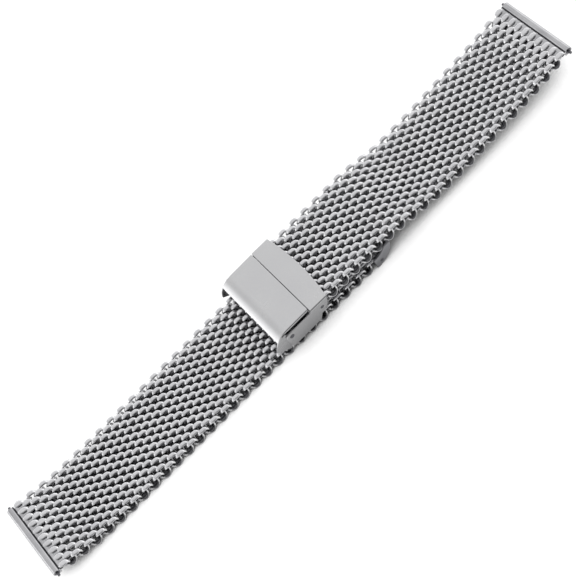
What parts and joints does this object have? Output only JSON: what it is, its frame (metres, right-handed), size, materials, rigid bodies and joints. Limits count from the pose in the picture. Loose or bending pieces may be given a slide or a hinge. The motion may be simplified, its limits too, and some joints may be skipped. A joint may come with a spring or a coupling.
{
  "type": "mesh watch band with folding clasp",
  "caption": "Woven steel mesh watch band in two straps, joined by a fold-over clasp with a hinged safety flap, with a tube and sprung bar at each lug end.",
  "frame": {"origin": "on the plane that the band rests on, midway between its two lug ends and on its centre line", "axes": "+X along the band towards the lug end of the strap that lies on top, +Y across it to the side away from the viewer, +Z away from the wrist"},
  "size_m": [0.1604, 0.0218, 0.0088],
  "materials": {
    "woven_wire": "drawn and flattened stainless wire, lightly polished",
    "clasp_sheet": "satin polished stainless sheet",
    "blade_sheet": "rolled stainless sheet",
    "tubes": "drawn stainless tube, fine lines along it",
    "bars": "turned stainless",
    "pins": "drawn stainless wire, cut to length",
    "spring_steel": "spring wire"
  },
  "bodies": {
    "lower_strap_1": {"lower_mesh_1": "woven_wire", "lower_tail_tube": "tubes"},
    "lower_strap_2": {"lower_mesh_2": "woven_wire"},
    "lower_strap_3": {"lower_mesh_3": "woven_wire"},
    "lower_strap_4": {"lower_mesh_4": "woven_wire"},
    "lower_strap_5": {"lower_mesh_5": "woven_wire"},
    "lower_strap_6": {"lower_mesh_6": "woven_wire"},
    "lower_strap_7": {"lower_mesh_7": "woven_wire", "lower_lug_tube": "tubes", "lower_spring_bar": "bars", "lower_coil_spring": "spring_steel"},
    "lower_tip_far": {"lower_tip_far": "bars"},
    "lower_tip_near": {"lower_tip_near": "bars"},
    "lower_blade": {"lower_blade": "blade_sheet", "fold_pin": "pins", "tail_pin": "pins"},
    "upper_blade": {"upper_blade": "blade_sheet"},
    "clasp_cover": {"clasp_cover": "clasp_sheet", "strap_pin": "pins", "flap_pins": "pins"},
    "safety_flap": {"safety_flap": "clasp_sheet"},
    "upper_strap_1": {"upper_mesh_1": "woven_wire", "upper_pin_tubes": "tubes"},
    "upper_strap_2": {"upper_mesh_2": "woven_wire"},
    "upper_strap_3": {"upper_mesh_3": "woven_wire"},
    "upper_strap_4": {"upper_mesh_4": "woven_wire"},
    "upper_strap_5": {"upper_mesh_5": "woven_wire"},
    "upper_strap_6": {"upper_mesh_6": "woven_wire", "upper_lug_tube": "tubes", "upper_spring_bar": "bars", "upper_coil_spring": "spring_steel"},
    "upper_tip_far": {"upper_tip_far": "bars"},
    "upper_tip_near": {"upper_tip_near": "bars"}
  },
  "joints": [
    {"name": "tail_hinge", "type": "hinge", "parent": "lower_strap_1", "child": "lower_blade", "pos_m": [0.01886, 0, 0.00155], "axis": [0, 1, 0], "range_deg": [0, 50]},
    {"name": "fold_hinge", "type": "hinge", "parent": "lower_blade", "child": "upper_blade", "pos_m": [-0.00819, 0, 0.00408], "axis": [0, -1, 0], "range_deg": [0, 110]},
    {"name": "cover_hinge", "type": "hinge", "parent": "upper_blade", "child": "clasp_cover", "pos_m": [0.00216, 0, 0.00588], "axis": [0, -1, 0], "range_deg": [-55, 0]},
    {"name": "upper_strap_hinge", "type": "hinge", "parent": "clasp_cover", "child": "upper_strap_1", "pos_m": [0.00216, 0, 0.00588], "axis": [0, -1, 0], "range_deg": [-27.5, 0]},
    {"name": "flap_hinge", "type": "hinge", "parent": "clasp_cover", "child": "safety_flap", "pos_m": [-0.00694, 0, 0.0061], "axis": [0, -1, 0], "range_deg": [0, 45]},
    {"name": "upper_bend_1", "type": "hinge", "parent": "upper_strap_1", "child": "upper_strap_2", "pos_m": [0.02611, 0, 0.00588], "axis": [0, 1, 0], "range_deg": [-29.5, 13.5]},
    {"name": "upper_bend_2", "type": "hinge", "parent": "upper_strap_2", "child": "upper_strap_3", "pos_m": [0.03634, 0, 0.0038], "axis": [0, 1, 0], "range_deg": [-6, 37]},
    {"name": "upper_bend_3", "type": "hinge", "parent": "upper_strap_3", "child": "upper_strap_4", "pos_m": [0.04678, 0, 0.00389], "axis": [0, 1, 0], "range_deg": [-13.5, 29.5]},
    {"name": "upper_bend_4", "type": "hinge", "parent": "upper_strap_4", "child": "upper_strap_5", "pos_m": [0.05718, 0, 0.0048], "axis": [0, 1, 0], "range_deg": [-18.5, 24.5]},
    {"name": "upper_bend_5", "type": "hinge", "parent": "upper_strap_5", "child": "upper_strap_6", "pos_m": [0.06759, 0, 0.00562], "axis": [0, 1, 0], "range_deg": [-14, 29]},
    {"name": "lower_bend_1", "type": "hinge", "parent": "lower_strap_1", "child": "lower_strap_2", "pos_m": [-0.01031, 0, 0.00155], "axis": [0, -1, 0], "range_deg": [-18, 25]},
    {"name": "lower_bend_2", "type": "hinge", "parent": "lower_strap_2", "child": "lower_strap_3", "pos_m": [-0.02249, 0, 0.00155], "axis": [0, -1, 0], "range_deg": [-18, 25]},
    {"name": "lower_bend_3", "type": "hinge", "parent": "lower_strap_3", "child": "lower_strap_4", "pos_m": [-0.03467, 0, 0.00155], "axis": [0, -1, 0], "range_deg": [-18, 25]},
    {"name": "lower_bend_4", "type": "hinge", "parent": "lower_strap_4", "child": "lower_strap_5", "pos_m": [-0.04685, 0, 0.00155], "axis": [0, -1, 0], "range_deg": [-18, 25]},
    {"name": "lower_bend_5", "type": "hinge", "parent": "lower_strap_5", "child": "lower_strap_6", "pos_m": [-0.05729, 0, 0.00155], "axis": [0, -1, 0], "range_deg": [-15.5, 27.5]},
    {"name": "lower_bend_6", "type": "hinge", "parent": "lower_strap_6", "child": "lower_strap_7", "pos_m": [-0.06772, 0, 0.00201], "axis": [0, -1, 0], "range_deg": [-8.5, 34.5]},
    {"name": "upper_tip_far_slide", "type": "slide", "parent": "upper_strap_6", "child": "upper_tip_far", "axis": [0, -1, 0], "range_m": [0, 0.0007], "stiffness_N_per_m": 300, "springref_m": -0.001, "deforming": ["upper_coil_spring"]},
    {"name": "upper_tip_near_slide", "type": "slide", "parent": "upper_strap_6", "child": "upper_tip_near", "axis": [0, 1, 0], "range_m": [0, 0.0007], "stiffness_N_per_m": 300, "springref_m": -0.001, "deforming": ["upper_coil_spring"]},
    {"name": "lower_tip_far_slide", "type": "slide", "parent": "lower_strap_7", "child": "lower_tip_far", "axis": [0, -1, 0], "range_m": [0, 0.0007], "stiffness_N_per_m": 300, "springref_m": -0.001, "deforming": ["lower_coil_spring"]},
    {"name": "lower_tip_near_slide", "type": "slide", "parent": "lower_strap_7", "child": "lower_tip_near", "axis": [0, 1, 0], "range_m": [0, 0.0007], "stiffness_N_per_m": 300, "springref_m": -0.001, "deforming": ["lower_coil_spring"]}
  ],
  "couplings": [
    {"joint": "cover_hinge", "follows": "fold_hinge", "ratio": -0.5},
    {"joint": "upper_strap_hinge", "follows": "fold_hinge", "ratio": -0.25}
  ]
}
